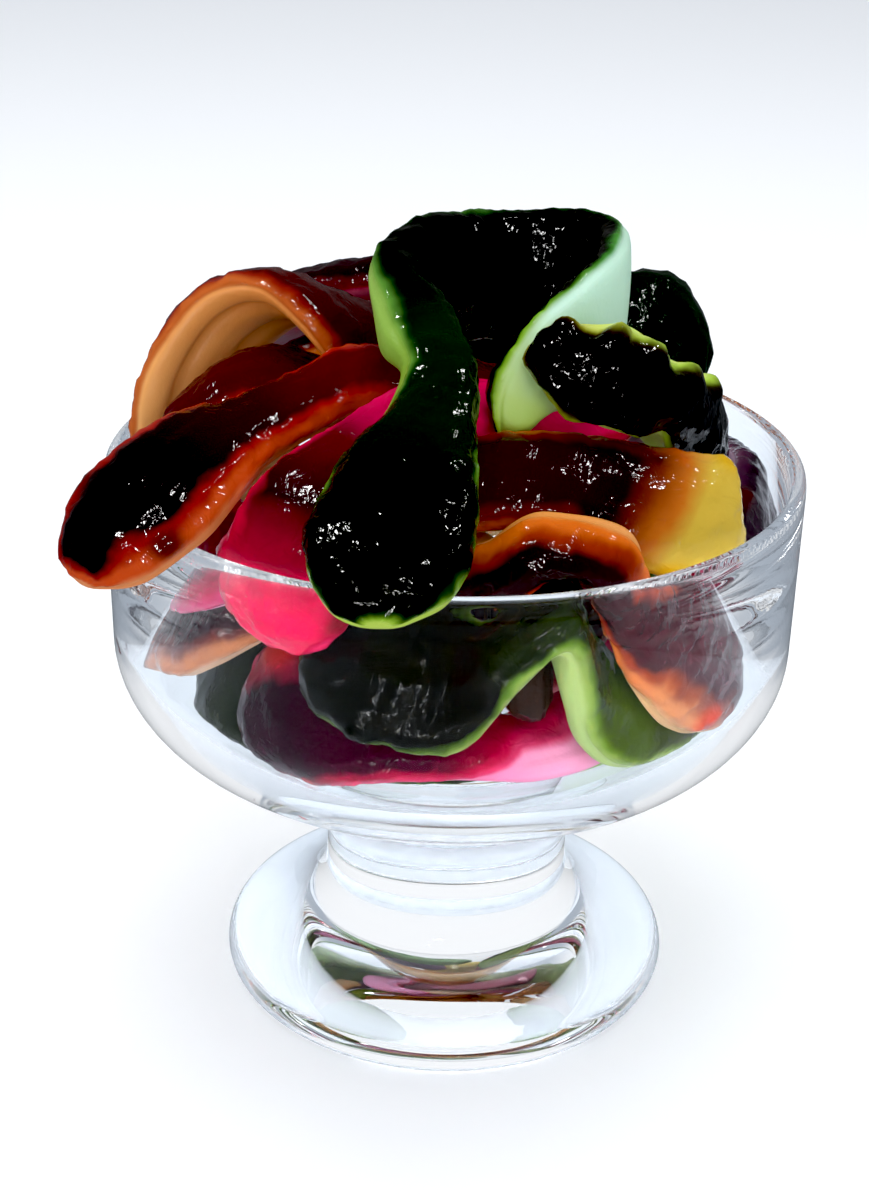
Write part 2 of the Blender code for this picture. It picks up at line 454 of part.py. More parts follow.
def pinch(points, firmer):
    """Draws in a snake's sections where they still meet a firmer neighbour."""
    neighbours = [tree_of(other) for other in firmer if boxes_meet(points, other, 0)]
    faces = faces_of(len(points))
    for _ in range(PINCH_ROUNDS):
        own = tree_of(points)
        met = [pair[0] for other in neighbours for pair in own.overlap(other)]
        for row in sorted({corner // SECTION_SIDES for face in met for corner in faces[face]}):
            points[row] += (points[row].mean(axis=0) - points[row]) * PINCH


def press(snakes, hold):
    """Dents each snake where a firmer neighbour or the glass still reaches into it."""
    names = sorted(snakes, key=lambda name: -hold[name])
    outline = {name: rings(snakes[name]) for name in names}
    for place, name in enumerate(names):
        points = outline[name].reshape(-1, 3).copy()
        for _ in range(PRESS_ROUNDS):
            for firmer in names[:place]:
                if boxes_meet(points, outline[firmer], PRESS_GAP):
                    points += pushed_out(points, snakes[firmer], PRESS_GAP)
            points += pushed_from_glass(points, GAP)
        points = points.reshape(outline[name].shape)
        for firmer in names[:place] * CLEAR_ROUNDS:
            if boxes_meet(points, outline[firmer], GAP):
                dent(points, outline[firmer])
        pinch(points, [outline[firmer] for firmer in names[:place]])
        outline[name] = points
    return outline


def make_material(name, colour, roughness, transmission=0.0):
    material = bpy.data.materials.new(name)
    material.use_nodes = True
    shader = material.node_tree.nodes["Principled BSDF"]
    shader.inputs["Base Color"].default_value = (*colour, 1.0)
    shader.inputs["Roughness"].default_value = roughness
    shader.inputs["Transmission Weight"].default_value = transmission
    return material


def mesh_object(name, mesh, material, collection):
    obj = bpy.data.objects.new(name, mesh)
    mesh.materials.append(material)
    collection.objects.link(obj)
    return obj


def bowl_profile():
    """Half of the bowl's section: out along the foot, up, over the rim and down the inside."""
    points = [(0.0, 0.0), (FOOT_RADIUS - 1.6, 0.0)]
    points += [(FOOT_RADIUS, 1.4), (FOOT_RADIUS, 3.2), (FOOT_RADIUS - 0.9, 4.6)]
    points += [(37.5, 5.6), (33.5, 7.2), (29.0, 9.8), (25.6, 13.2), (23.5, 17.0)]
    points += [(STEM_RADIUS, 21.5), (STEM_RADIUS - 0.3, 32.0), (STEM_RADIUS, 41.5)]
    for angle in np.radians((-88, -72, -57, -43, -29, -14, 0)):
        radius = CORNER_START + OUTER_CORNER[0] * math.cos(angle)
        points.append((radius, OUTER_CORNER_Z + OUTER_CORNER[1] * math.sin(angle)))
    points += [(RIM_RADIUS, 99.6), (RIM_RADIUS - 0.1, 101.2), (RIM_RADIUS - 0.7, BOWL_HEIGHT)]
    points += [(INNER_RADIUS + 0.7, BOWL_HEIGHT), (INNER_RADIUS + 0.1, 101.2)]
    for angle in np.radians((0, -14, -29, -43, -57, -72, -88)):
        radius = CORNER_START + INNER_CORNER[0] * math.cos(angle)
        height = FLOOR_Z + INNER_CORNER[1] * (1 + math.sin(angle))
        points.append((radius, height))
    points.append((0.0, FLOOR_Z))
    return points


def make_bowl(collection):
    mesh = bpy.data.meshes.new("glass_bowl")
    build = bmesh.new()
    corners = [build.verts.new((r * MM, 0, z * MM)) for r, z in bowl_profile()]
    for first, second in zip(corners, corners[1:]):
        build.edges.new((first, second))
    build.to_mesh(mesh)
    build.free()
    glass = make_material("clear_glass", (0.93, 0.97, 0.98), 0.03, 1.0)
    obj = mesh_object("glass_bowl", mesh, glass, collection)
    turn = obj.modifiers.new("turn", "SCREW")
    turn.axis = "Z"
    turn.angle = math.tau
    turn.steps = turn.render_steps = BOWL_STEPS
    turn.use_merge_vertices = True
    turn.merge_threshold = 0.00005
    turn.use_normal_calculate = True
    turn.use_smooth_shade = True
    return obj


def make_snake(name, outline, colour, collection):
    mesh = bpy.data.meshes.new(name)
    mesh.from_pydata((outline.reshape(-1, 3) * MM).tolist(), [], faces_of(len(outline)))
    mesh.shade_smooth()
    return mesh_object(name, mesh, make_material(name, colour, 0.2), collection)


def main():
    for obj in list(bpy.data.objects):
        bpy.data.objects.remove(obj, do_unlink=True)
    collection = bpy.data.collections.new("bowl_of_jelly_snakes")
    bpy.context.scene.collection.children.link(collection)
    make_bowl(collection)
    snakes = {}
    for name, spec in SNAKES.items():
        shape = {key: spec[key] for key in SHAPE_KEYS if key in spec}
        snakes[name] = snake_frame(spec["route"], **shape)
    hold = {name: spec["hold"] + 0.01 * i for i, (name, spec) in enumerate(SNAKES.items())}
    settle(snakes, hold)
    outline = press(snakes, hold)
    for name, spec in SNAKES.items():
        make_snake(name, outline[name], spec["colour"], collection)


main()
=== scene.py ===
import math

import bmesh
import bpy
import numpy as np
from mathutils import Matrix, Vector


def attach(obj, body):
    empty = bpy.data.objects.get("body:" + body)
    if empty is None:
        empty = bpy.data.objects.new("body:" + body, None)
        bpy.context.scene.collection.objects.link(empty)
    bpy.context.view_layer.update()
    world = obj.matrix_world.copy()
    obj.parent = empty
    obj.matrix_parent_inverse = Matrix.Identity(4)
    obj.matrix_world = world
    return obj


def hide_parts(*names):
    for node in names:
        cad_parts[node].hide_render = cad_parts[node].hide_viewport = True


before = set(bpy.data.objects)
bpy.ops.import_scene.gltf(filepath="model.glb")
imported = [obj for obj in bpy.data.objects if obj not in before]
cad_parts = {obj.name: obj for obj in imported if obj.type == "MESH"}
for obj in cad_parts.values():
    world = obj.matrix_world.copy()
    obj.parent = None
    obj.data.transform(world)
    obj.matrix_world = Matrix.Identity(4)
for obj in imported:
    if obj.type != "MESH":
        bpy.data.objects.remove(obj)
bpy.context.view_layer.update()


# ---- The bowl ----
# A footed dessert bowl in one piece of pressed clear glass, with a thick solid stem and a heavy
# round foot. It was pressed in a turned mould and fire-polished, so its edges are all soft.

# Its sizes are in millimetres, as radii from its axis and heights from the table.
MM = 0.001
RIM_RADIUS, BOWL_HEIGHT, WALL_INNER = 60.0, 102.0, 57.4
FLOOR_Z, CORNER_START = 50.3, 24.0
FOOT_RADIUS, STEM_RADIUS = 41.8, 22.6
BOWL_TURNS = 144         # steps of the turned mesh round the bowl
BOWL_WELD = 0.00002      # points of the mesh closer than this many metres become one


def quarter(middle, radii, start, end, steps):
    """Points round part of an ellipse, as radius and height in the bowl's section."""
    angles = np.radians(np.linspace(start, end, steps))
    across, up = radii[0] * np.cos(angles), radii[1] * np.sin(angles)
    return list(zip(middle[0] + across, middle[1] + up))


def soften(points, rounds):
    """Cuts the corners of the section so the pressed edges turn smoothly."""
    for _ in range(rounds):
        cut = [points[0]]
        for (ra, za), (rb, zb) in zip(points, points[1:]):
            cut.append((0.75 * ra + 0.25 * rb, 0.75 * za + 0.25 * zb))
            cut.append((0.25 * ra + 0.75 * rb, 0.25 * za + 0.75 * zb))
        points = cut + [points[-1]]
    return points


# The section goes from under the foot up the outside, over the rim and down to the bowl's floor.
foot_and_stem = [
    (0.0, 0.0), (FOOT_RADIUS - 1.6, 0.0), (FOOT_RADIUS, 1.4), (FOOT_RADIUS, 3.2),
    (FOOT_RADIUS - 0.9, 4.6), (37.5, 5.6), (33.5, 7.2), (29.0, 9.8), (25.6, 13.2), (23.5, 17.0),
    (STEM_RADIUS, 21.5), (STEM_RADIUS - 0.3, 32.0), (STEM_RADIUS, 41.5), (24.0, 46.0),
]
outside = quarter(middle=(CORNER_START, 70.0), radii=(36.0, 23.5), start=-80, end=0, steps=22)
rim = [
    (RIM_RADIUS, 99.6), (RIM_RADIUS - 0.1, 101.2), (RIM_RADIUS - 0.7, BOWL_HEIGHT),
    (WALL_INNER + 0.7, BOWL_HEIGHT), (WALL_INNER + 0.1, 101.2),
]
inside = quarter(middle=(CORNER_START, 73.0), radii=(33.4, 22.7), start=0, end=-88, steps=24)
half_section = soften(foot_and_stem, 2) + outside + soften(rim, 2) + inside + [(0.0, FLOOR_Z)]

glassware = bmesh.new()
corners = [glassware.verts.new((r * MM, 0.0, z * MM)) for r, z in half_section]
edges = [glassware.edges.new(pair) for pair in zip(corners, corners[1:])]
bmesh.ops.spin(
    glassware, geom=corners + edges, cent=(0, 0, 0), axis=(0, 0, 1), angle=math.tau,
    steps=BOWL_TURNS, use_merge=True,
)
bmesh.ops.remove_doubles(glassware, verts=glassware.verts, dist=BOWL_WELD)
bmesh.ops.recalc_face_normals(glassware, faces=glassware.faces)
bowl_mesh = bpy.data.meshes.new("bowl")
glassware.to_mesh(bowl_mesh)
glassware.free()
bowl_mesh.shade_smooth()
bowl = bpy.data.objects.new("bowl", bowl_mesh)
bpy.context.scene.collection.objects.link(bowl)


def noise(scale, detail, roughness=0.5, distortion=0.0):
    """Noise fixed to the piece, in whichever material's tree nodes and links now name."""
    pattern = nodes.new("ShaderNodeTexNoise")
    pattern.inputs["Scale"].default_value = scale
    pattern.inputs["Detail"].default_value = detail
    pattern.inputs["Roughness"].default_value = roughness
    pattern.inputs["Distortion"].default_value = distortion
    links.new(nodes.new("ShaderNodeTexCoord").outputs["Object"], pattern.inputs["Vector"])
    return pattern.outputs["Fac"]


def bumped(height, strength, depth):
    """The surface's direction once a height is raised on it."""
    bump = nodes.new("ShaderNodeBump")
    bump.inputs["Strength"].default_value = strength
    bump.inputs["Distance"].default_value = depth
    links.new(height, bump.inputs["Height"])
    return bump.outputs["Normal"]


# The thin wall hardly bends what is seen through it, and the solid stem and foot bend it strongly.
# The polish is faintly rippled. Lamp light passes straight through, a little dimmed, to the heap.
GLASS_BENDING = {"clear_glass_wall": 1.28, "clear_glass_stem": 1.45}
GLASS_COLOUR = (0.965, 0.98, 0.992, 1.0)
GLASS_GLARE = (0.08, 0.09, 0.10, 1.0)
GLASS_SHADOW = (0.93, 0.95, 0.97, 1.0)

for name, bending in GLASS_BENDING.items():
    glass = bpy.data.materials.new(name)
    glass.use_nodes = True
    nodes, links = glass.node_tree.nodes, glass.node_tree.links
    shader = nodes["Principled BSDF"]
    shader.inputs["Base Color"].default_value = GLASS_COLOUR
    shader.inputs["Roughness"].default_value = 0.0
    shader.inputs["IOR"].default_value = bending
    shader.inputs["Specular Tint"].default_value = GLASS_GLARE
    shader.inputs["Transmission Weight"].default_value = 1.0
    ripple = noise(scale=55.0, detail=1.0)
    links.new(bumped(ripple, strength=0.012, depth=0.0005), shader.inputs["Normal"])
    lit = nodes.new("ShaderNodeBsdfTransparent")
    lit.inputs["Color"].default_value = GLASS_SHADOW
    path = nodes.new("ShaderNodeLightPath")
    either = nodes.new("ShaderNodeMixShader")
    links.new(path.outputs["Is Shadow Ray"], either.inputs["Fac"])
    links.new(shader.outputs["BSDF"], either.inputs[1])
    links.new(lit.outputs["BSDF"], either.inputs[2])
    links.new(either.outputs["Shader"], nodes["Material Output"].inputs["Surface"])
    bowl_mesh.materials.append(glass)
for face in bowl_mesh.polygons:
    face.material_index = int(face.center.z < (FLOOR_Z - 0.1) * MM)
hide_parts("glass_bowl")
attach(bowl, "root")


# ---- The snakes ----
# Giant gummy snakes, each cast in one piece: a foam belly of pale whipped gelatine under a glossy
# jelly back that is nearly black where it is thick and bright along its thin edges. The backs
# carry the pebbled scales of the mould, and each head has two raised eyes.

TAU = math.tau
SIDES = 10               # corners in each section of a packed snake
AROUND = 64              # columns of the fine skin round a snake
ALONG_STEP = 0.0009      # from one row of the fine skin to the next
SAME_PLACE = 1e-6        # points of a packed snake this close are one corner
SKIN_WELD = 0.000005     # points of the fine skin this close are joined
END_BULGE = 0.08         # how far the ends round out, as a share of the last section's spacing
BELLY_MIDDLE = 7.5       # the belly's middle lies between the eighth and ninth corners


def walk(ring):
    """The vertices of one section of a solid, in order round it."""
    members, order = set(ring), [ring[0]]
    while len(order) < SIDES:
        for edge in order[-1].link_edges:
            other = edge.other_vert(order[-1])
            on_rim = any(set(face.verts) - members for face in edge.link_faces)
            if other in members and other not in order and on_rim:
                order.append(other)
                break
        else:
            raise ValueError("a section isn't closed")
    return order


def sections_from(first):
    """The solid's sections in order, from the first one's corners, or None if that isn't one."""
    rings, seen = [first], set(first)
    while True:
        ring = {edge.other_vert(v) for v in rings[-1] for edge in v.link_edges} - seen
        if not ring:
            return rings
        if len(ring) != SIDES:
            return None
        rings.append(sorted(ring, key=lambda v: v.index))
        seen |= ring


def rings_of(name, tip):
    """The solid's sections from its nose to its tail, as sections x sides x 3 in metres."""
    solid = bmesh.new()
    solid.from_mesh(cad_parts[name].data)
    bmesh.ops.remove_doubles(solid, verts=solid.verts, dist=SAME_PLACE)
    solid.verts.index_update()
    near = sorted(solid.verts, key=lambda v: (v.co - tip).length)[: 3 * SIDES]
    for face in sorted(solid.faces, key=lambda f: (f.calc_center_median() - tip).length):
        rings = sections_from(sorted(near, key=lambda v: -v.co.dot(face.normal))[:SIDES])
        if rings and len(rings) * SIDES == len(solid.verts):
            break
    else:
        raise ValueError(f"{name}: no nose section was found")
    places = np.array([[v.co[:] for v in walk(ring)] for ring in rings])
    solid.free()
    turns = [np.roll(np.arange(SIDES)[::way], k) for way in (1, -1) for k in range(SIDES)]
    for k in range(1, len(places)):
        gaps = [np.sum((places[k][turn] - places[k - 1]) ** 2) for turn in turns]
        places[k] = places[k][turns[int(np.argmin(gaps))]]
    return places


def turned_to_back(places, back):
    """The sections with their first corner at the side and their third and fourth on the back."""
    middle = places.mean(axis=1)
    ahead = middle[5] - middle[3]
    ahead /= np.linalg.norm(ahead)
    side = np.cross(ahead, back)
    ring = places[4] - middle[4]
    if np.sum(np.cross(ring, np.roll(ring, -1, axis=0)) @ ahead) > 0:
        places, ring = places[:, ::-1], ring[::-1]
    aims = [
        ring[k] @ side + (ring[(k + 2) % SIDES] + ring[(k + 3) % SIDES]) @ back
        for k in range(SIDES)
    ]
    return np.roll(places, -int(np.argmax(aims)), axis=1)


def through(points, knots, at):
    """A smooth curve through the points at their knots, read at the places asked for."""
    steps = np.diff(knots)
    slopes = np.diff(points, axis=0) / steps[:, None, None]
    lean = slopes[:-1] * steps[1:, None, None] + slopes[1:] * steps[:-1, None, None]
    lean = lean / (steps[:-1] + steps[1:])[:, None, None]
    lean = np.concatenate([slopes[:1], lean, slopes[-1:]])
    k = np.clip(np.searchsorted(knots, at, side="right") - 1, 0, len(steps) - 1)
    h = steps[k]
    t = ((at - knots[k]) / h)[:, None, None]
    h = h[:, None, None]
    left = (1 + 2 * t) * (1 - t) ** 2 * points[k] + t * (1 - t) ** 2 * h * lean[k]
    right = t * t * (3 - 2 * t) * points[k + 1] - t * t * (1 - t) * h * lean[k + 1]
    return left + right


def smooth_skin(places):
    """A fine skin over the sections, as rows along the snake x columns round it, and its length."""
    half_turn = np.roll(np.arange(SIDES), SIDES // 2)
    ends = [
        (1 + END_BULGE) * last.mean(axis=0) - END_BULGE * before.mean(axis=0)
        for last, before in ((places[0], places[1]), (places[-1], places[-2]))
    ]
    nose, tail = (np.tile(end, (SIDES, 1)) for end in ends)
    rows = np.array([places[0][half_turn], nose, *places, tail, places[-1][half_turn]])
    gaps = np.linalg.norm(np.diff(rows, axis=0), axis=2).mean(axis=1)
    knots = np.concatenate([[0.0], np.cumsum(gaps)]) - gaps[0]
    length = knots[-2]
    at = np.linspace(0.0, length, round(length / ALONG_STEP) + 1)
    meridians = through(rows, knots, at)
    wrapped = np.concatenate([meridians] * 3, axis=1).transpose(1, 0, 2)
    spots = SIDES + BELLY_MIDDLE + SIDES * np.linspace(0.0, 1.0, AROUND + 1)
    skin = through(wrapped, np.arange(3.0 * SIDES), spots).transpose(1, 0, 2)
    return skin, length


def lumps(points, width, seed, waves=22):
    """Uneven lumps about so wide all over the points, from -1 to 1."""
    draw = np.random.default_rng(seed)
    total = np.zeros(points.shape[:-1])
    for _ in range(waves):
        way = draw.normal(size=3)
        way *= TAU / (width * draw.uniform(0.75, 1.5) * np.linalg.norm(way))
        total += np.cos(points @ way + draw.uniform(0, TAU))
    return np.tanh(total / 4.0)


def outward(skin):
    """The skin's outward directions, with their sign told from its rows away from the ends."""
    along = np.gradient(skin, axis=0)
    closed = np.concatenate([skin[:, -2:-1], skin, skin[:, 1:2]], axis=1)
    round_it = closed[:, 2:] - closed[:, :-2]
    out = np.cross(round_it, along)
    out /= np.linalg.norm(out, axis=2, keepdims=True) + 1e-12
    middle = skin.mean(axis=1, keepdims=True)
    facing = np.sum(out * (skin - middle), axis=2)[5:-5].mean()
    return out if facing > 0 else -out


def fade(value, start, end):
    """0 to 1 as value passes from start to end, smoothly."""
    t = np.clip((value - start) / (end - start), 0.0, 1.0)
    return t * t * (3 - 2 * t)


def band(value, middle, width):
    """1 in the middle of a soft band, and 0 well away from it."""
    return np.exp(-(((value - middle) / width) ** 2))


# The relief, in millimetres. A place round the snake, such as an edge or a groove, is a share of
# the way from the middle of its back, 0, to the middle of its belly, 1.
GIRTH = 44.0                                       # the way round a snake, near enough
BACK_EDGE = (0.42, 0.56)                           # the scales and pebbles fade out between these
SCALE_LONG, SCALE_WIDE, SCALE_HEIGHT = 5.2, 6.3, 0.16
PEBBLE_WIDE, PEBBLE_HEIGHT = 4.2, 0.26             # on the scales alone
DENT_WIDE, DENT_HEIGHT = 9.0, 0.12
SWELL_WIDE, SWELL_HEIGHT, SWELL_SINK = 26.0, 0.30, 0.25
GROOVE_AT, GROOVE_WIDE, GROOVE_DEPTH = 0.56, 0.035, 0.30     # where the jelly meets the foam
CREASE_AT, CREASE_WIDE = 0.88, 0.04
SCALLOP_AT, SCALLOP_WIDE, SCALLOP_LONG = 0.40, 0.12, 9.5
EYE_ALONG, EYE_ASIDE, EYE_AREA, EYE_HEIGHT = 17.0, 8.2, 5.5, 0.55
EYE_SQUEEZE = 0.8                                  # makes an eye a little longer than wide
PLAIN_ENDS = 3.0                                   # there is no relief at the very ends
NOSE_BELLY, NOSE_LONG = 0.62, 14.0                 # the nose takes the colours of the edge


def raise_relief(skin, length, seed, eyes, lean=(0.0, 0.0), crease=0.0, scallop=0.0, blunt=0.001):
    """Raises the relief on the skin. Returns it with each point's share of eye and its place
    round the snake, which turns towards the belly at the nose."""
    along = np.linspace(0.0, length, len(skin))[:, None] / MM
    reach = np.clip(along / blunt, 0.02, 1.0)[..., None]
    middle = skin.mean(axis=1, keepdims=True)
    skin = middle + (skin - middle) * np.sqrt(1 - (1 - reach) ** 2)
    out = outward(skin)
    turned = np.interp(along / along.max(), lean[0::2], lean[1::2])
    share = (np.linspace(0.0, 1.0, AROUND + 1)[None] - turned) % 1.0
    from_back = np.abs(share - 0.5) * 2
    on_back = 1 - fade(from_back, *BACK_EDGE)
    across = (share - 0.5) * GIRTH
    scales = np.cos(TAU * (along / SCALE_LONG + across / SCALE_WIDE))
    scales *= np.cos(TAU * (along / SCALE_LONG - across / SCALE_WIDE))
    height = SCALE_HEIGHT * on_back * scales
    height += PEBBLE_HEIGHT * on_back * lumps(skin / MM, PEBBLE_WIDE, seed)
    height += DENT_HEIGHT * lumps(skin / MM, DENT_WIDE, seed + 1)
    height += SWELL_HEIGHT * lumps(skin / MM, SWELL_WIDE, seed + 2) - SWELL_SINK
    height -= GROOVE_DEPTH * band(from_back, GROOVE_AT, GROOVE_WIDE)
    height -= crease * band(from_back, CREASE_AT, CREASE_WIDE)
    wave = np.cos(TAU * along / SCALLOP_LONG)
    height += scallop * wave * band(from_back, SCALLOP_AT, SCALLOP_WIDE)
    eye = np.zeros_like(height)
    if eyes:
        for side in (-1, 1):
            apart = (across - side * EYE_ASIDE) ** 2 + ((along - EYE_ALONG) * EYE_SQUEEZE) ** 2
            eye += band(apart, 0.0, EYE_AREA)
    height += EYE_HEIGHT * eye
    tail = along.max()
    height *= fade(along, 0.0, PLAIN_ENDS) * (1 - fade(along, tail - PLAIN_ENDS, tail))
    place = np.maximum(from_back, NOSE_BELLY - along / NOSE_LONG)
    return skin + out * (height * MM)[..., None], eye, place


def make_snake(name, skin, eye, from_back):
    """One snake's mesh: a grid laid on the skin and closed along its seam and at both ends."""
    build = bmesh.new()
    build.loops.layers.uv.new("UVMap")
    eye_layer = build.verts.layers.float.new("eye")
    belly_layer = build.verts.layers.float.new("from_back")
    rows = len(skin)
    bmesh.ops.create_grid(build, x_segments=rows - 1, y_segments=AROUND, size=0.5, calc_uvs=True)
    for vert in build.verts:
        i = round((vert.co.x + 0.5) * (rows - 1))
        j = round((vert.co.y + 0.5) * AROUND)
        vert.co = skin[i, j]
        vert[eye_layer] = eye[i, j]
        vert[belly_layer] = from_back[i, j]
    bmesh.ops.remove_doubles(build, verts=build.verts, dist=SKIN_WELD)
    bmesh.ops.recalc_face_normals(build, faces=build.faces)
    mesh = bpy.data.meshes.new(name)
    build.to_mesh(mesh)
    build.free()
    mesh.shade_smooth()
    piece = bpy.data.objects.new(name, mesh)
    bpy.context.scene.collection.objects.link(piece)
    return piece


def colour_of(text):
    """A linear colour from six hex digits on the usual screen curve."""
    parts = [int(text[i : i + 2], 16) / 255 for i in (0, 2, 4)]
    return [c / 12.92 if c <= 0.04045 else ((c + 0.055) / 1.055) ** 2.4 for c in parts] + [1.0]


def arithmetic(operation, first, second, third=None):
    """A Math node on sockets or numbers, in whichever tree nodes and links now name."""
    node = nodes.new("ShaderNodeMath")
    node.operation = operation
    for socket, value in zip(node.inputs, (first, second, third)):
        if isinstance(value, (int, float)):
            socket.default_value = value
        elif value is not None:
            links.new(value, socket)
    return node.outputs[0]


def ramp(value, start, end):
    """0 to 1 as value passes from start to end, smoothly."""
    node = nodes.new("ShaderNodeMapRange")
    node.interpolation_type = "SMOOTHSTEP"
    for socket, item in (("Value", value), ("From Min", start), ("From Max", end)):
        if isinstance(item, (int, float)):
            node.inputs[socket].default_value = item
        else:
            links.new(item, node.inputs[socket])
    return node.outputs["Result"]


def blend_colours(share, first, second):
    """The first colour where share is 0 and the second where it is 1. Each is a socket or a
    plain colour."""
    node = nodes.new("ShaderNodeMix")
    node.data_type = "RGBA"
    for socket, item in (("Factor", share), ("A", first), ("B", second)):
        if isinstance(item, tuple):
            node.inputs[socket].default_value = item
        else:
            links.new(item, node.inputs[socket])
    return node.outputs["Result"]


# The shader group that lays the jelly's four tones round a snake, from the thick back to the foam.
# Each tone fades into the next over a share of the way round, and wanders a little.
THIN_FADE, EDGE_FADE, FOAM_FADE = 0.10, 0.12, 0.10
FOAM_WANDER = 0.35

layers = bpy.data.node_groups.new("jelly_layers", "ShaderNodeTree")
for way, kind, labels in (
    ("INPUT", "NodeSocketFloat", ("Round", "Wander", "Thick To", "Edge From", "Foam From", "Eye")),
    ("INPUT", "NodeSocketColor", ("Thick", "Thin", "Edge", "Foam", "Eye Colour")),
    ("OUTPUT", "NodeSocketColor", ("Colour",)),
    ("OUTPUT", "NodeSocketFloat", ("Foam Share",)),
):
    for label in labels:
        layers.interface.new_socket(label, in_out=way, socket_type=kind)
nodes, links = layers.nodes, layers.links
given, result = nodes.new("NodeGroupInput").outputs, nodes.new("NodeGroupOutput").inputs

distance = arithmetic("ADD", given["Round"], given["Wander"])
tone = given["Thick"]
for start, wide, colour in (("Thick To", THIN_FADE, "Thin"), ("Edge From", EDGE_FADE, "Edge")):
    share = ramp(distance, given[start], arithmetic("ADD", given[start], wide))
    tone = blend_colours(share, tone, given[colour])
foam_edge = arithmetic("MULTIPLY_ADD", given["Wander"], FOAM_WANDER, given["Round"])
foam_full = arithmetic("ADD", given["Foam From"], FOAM_FADE)
foam_share = ramp(foam_edge, given["Foam From"], foam_full)
tone = blend_colours(foam_share, tone, given["Foam"])
tone = blend_colours(given["Eye"], tone, given["Eye Colour"])
links.new(tone, result["Colour"])
links.new(foam_share, result["Foam Share"])


def tone_ramp(along, text):
    """A colour ramp along the snake from words such as '0.2:d8b21c', a share and a colour."""
    node = nodes.new("ShaderNodeValToRGB")
    stops = [word.split(":") for word in text.split()]
    bar = node.color_ramp.elements
    bar.remove(bar[-1])
    bar[0].position, bar[0].color = float(stops[0][0]), colour_of(stops[0][1])
    for place, colour in stops[1:]:
        bar.new(float(place)).color = colour_of(colour)
    links.new(along, node.inputs["Fac"])
    return node.outputs["Color"]


# The jelly's wet gloss, the matt foam, and the small creases and grain that break their shine.
WANDER, ALONG_WANDER = 0.384, 0.12
WET_ROUGHNESS, FOAM_ROUGHNESS, GRAIN_ROUGHNESS = 0.07, 0.30, 0.06
GRAIN_BUMP = 0.35


def jelly(name, thick, thin, edge, foam, eye="7a1006", zones=(0.34, 0.44, 0.54)):
    """A snake's material: jelly tones along and round it, wet gloss and the foam's fine grain."""
    global nodes, links
    material = bpy.data.materials.new(name)
    material.use_nodes = True
    nodes, links = material.node_tree.nodes, material.node_tree.links
    shader = nodes["Principled BSDF"]
    on_snake = nodes.new("ShaderNodeSeparateXYZ")
    links.new(nodes.new("ShaderNodeTexCoord").outputs["UV"], on_snake.inputs["Vector"])
    from_back = nodes.new("ShaderNodeAttribute")
    from_back.attribute_name = "from_back"
    eye_share = nodes.new("ShaderNodeAttribute")
    eye_share.attribute_name = "eye"
    clouds = noise(scale=75.0, detail=3.0, roughness=0.6)
    drift = arithmetic("MULTIPLY", arithmetic("SUBTRACT", clouds, 0.5), WANDER)
    along = arithmetic("ADD", on_snake.outputs["X"], arithmetic("MULTIPLY", drift, ALONG_WANDER))
    skin = nodes.new("ShaderNodeGroup")
    skin.node_tree = layers
    links.new(from_back.outputs["Fac"], skin.inputs["Round"])
    links.new(drift, skin.inputs["Wander"])
    for label, share in zip(("Thick To", "Edge From", "Foam From"), zones):
        skin.inputs[label].default_value = share
    for label, text in (("Thick", thick), ("Thin", thin), ("Edge", edge), ("Foam", foam)):
        links.new(tone_ramp(along, text), skin.inputs[label])
    links.new(eye_share.outputs["Fac"], skin.inputs["Eye"])
    skin.inputs["Eye Colour"].default_value = colour_of(eye)
    links.new(skin.outputs["Colour"], shader.inputs["Base Color"])
    grain = noise(scale=900.0, detail=2.0)
    foam_share = skin.outputs["Foam Share"]
    matt = arithmetic("MULTIPLY_ADD", foam_share, FOAM_ROUGHNESS, WET_ROUGHNESS)
    roughness = arithmetic("MULTIPLY_ADD", grain, GRAIN_ROUGHNESS, matt)
    links.new(roughness, shader.inputs["Roughness"])
    creases = noise(scale=330.0, detail=1.0, distortion=1.6)
    on_jelly = arithmetic("MULTIPLY", creases, arithmetic("SUBTRACT", 1.0, foam_share))
    height = arithmetic("MULTIPLY_ADD", grain, GRAIN_BUMP, on_jelly)
    links.new(bumped(height, strength=0.35, depth=0.0007), shader.inputs["Normal"])
    shader.inputs["Specular IOR Level"].default_value = 0.12
    shader.inputs["Subsurface Weight"].default_value = 0.12
    shader.inputs["Subsurface Radius"].default_value = (1.0, 0.5, 0.3)
    shader.inputs["Subsurface Scale"].default_value = 0.003
    return material


